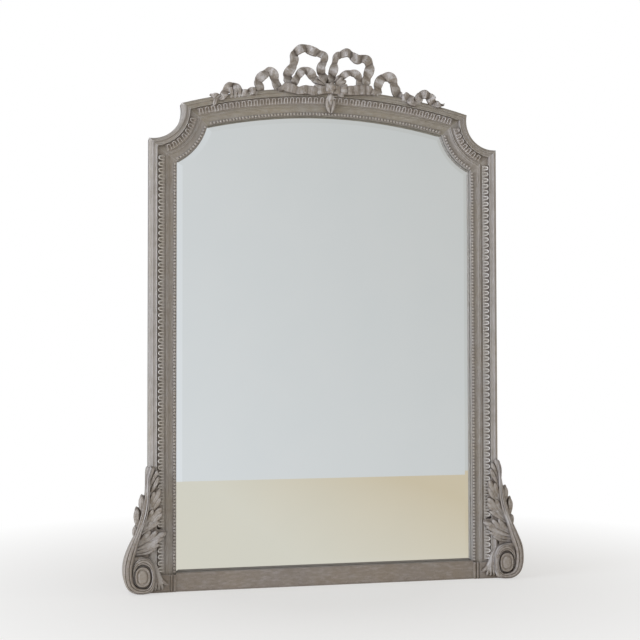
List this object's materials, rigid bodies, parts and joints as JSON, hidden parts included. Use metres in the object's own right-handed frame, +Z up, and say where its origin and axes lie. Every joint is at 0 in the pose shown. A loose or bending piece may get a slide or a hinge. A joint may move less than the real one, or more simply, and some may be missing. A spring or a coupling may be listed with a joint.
{
  "type": "overmantel mirror",
  "caption": "Arched overmantel mirror with scooped corners, bevelled plate, ribbon-bow crest and acanthus scroll consoles; strap hangers with swinging rings behind.",
  "frame": {"origin": "on the surface it stands on, under the middle of the frame's back", "axes": "+Z up, +Y towards the wall behind the mirror, -Y out of the front, +X to the right seen from behind the viewer looking at the front"},
  "size_m": [1.1228, 0.0828, 1.498],
  "materials": {
    "grey_paint": "patinated grey-taupe paint over gesso, satin, worn on the high edges",
    "grey_paint_light": "patinated grey paint rubbed lighter on carved ornament, satin",
    "pine": "old unpainted pine, matt",
    "board_pine": "old darkened pine boards, matt",
    "mirror": "polished bevelled plate",
    "silvering": "protective dark paint over silvering, matt",
    "steel": "aged steel, dull",
    "brass": "aged brass, dull"
  },
  "bodies": {
    "frame": {"back_stile_left": "pine", "back_stile_right": "pine", "back_rail_bottom": "pine", "back_rail_top": "pine", "carcass_screws": "steel", "side_moulding_left": "grey_paint", "side_moulding_right": "grey_paint", "notch_moulding_left": "grey_paint", "notch_moulding_right": "grey_paint", "arch_moulding": "grey_paint", "tongue_strip_left": "grey_paint_light", "tongue_strip_right": "grey_paint_light", "tongue_strip_notch_left": "grey_paint_light", "tongue_strip_notch_right": "grey_paint_light", "tongue_strip_arch": "grey_paint_light", "pearl_strip_left": "grey_paint_light", "pearl_strip_right": "grey_paint_light", "pearl_strip_notch_left": "grey_paint_light", "pearl_strip_notch_right": "grey_paint_light", "pearl_strip_arch": "grey_paint_light", "base_rail": "grey_paint", "base_block_left": "grey_paint", "base_block_right": "grey_paint", "end_reeds_left": "grey_paint", "end_reeds_right": "grey_paint", "mirror_glass": "mirror", "silver_coat": "silvering", "glass_blocks": "pine", "back_board_1": "board_pine", "back_board_2": "board_pine", "back_board_3": "board_pine", "back_board_4": "board_pine", "board_nails": "steel", "crest_base_ribbon": "grey_paint", "bow_loop_left": "grey_paint_light", "bow_loop_right": "grey_paint_light", "inner_loop_left": "grey_paint_light", "inner_loop_right": "grey_paint_light", "streamer_left": "grey_paint_light", "streamer_right": "grey_paint_light", "streamer_tail_left": "grey_paint_light", "streamer_tail_right": "grey_paint_light", "bow_knot": "grey_paint", "knot_leaves": "grey_paint", "crest_pendant": "grey_paint", "console_scroll_left": "grey_paint", "console_scroll_right": "grey_paint", "console_leaf_left": "grey_paint_light", "console_leaf_right": "grey_paint_light", "foot_leaf_left": "grey_paint_light", "foot_leaf_right": "grey_paint_light", "hanger_strap_left": "brass", "hanger_strap_right": "brass", "hanger_screws": "steel"},
    "left_ring": {"hanger_ring_left": "brass"},
    "right_ring": {"hanger_ring_right": "brass"}
  },
  "joints": [
    {"name": "left_ring_swing", "type": "hinge", "parent": "frame", "child": "left_ring", "pos_m": [-0.462, 0.00385, 1.06], "axis": [1, 0, 0], "range_deg": [0, 178]},
    {"name": "right_ring_swing", "type": "hinge", "parent": "frame", "child": "right_ring", "pos_m": [0.462, 0.00385, 1.06], "axis": [1, 0, 0], "range_deg": [0, 178]}
  ]
}
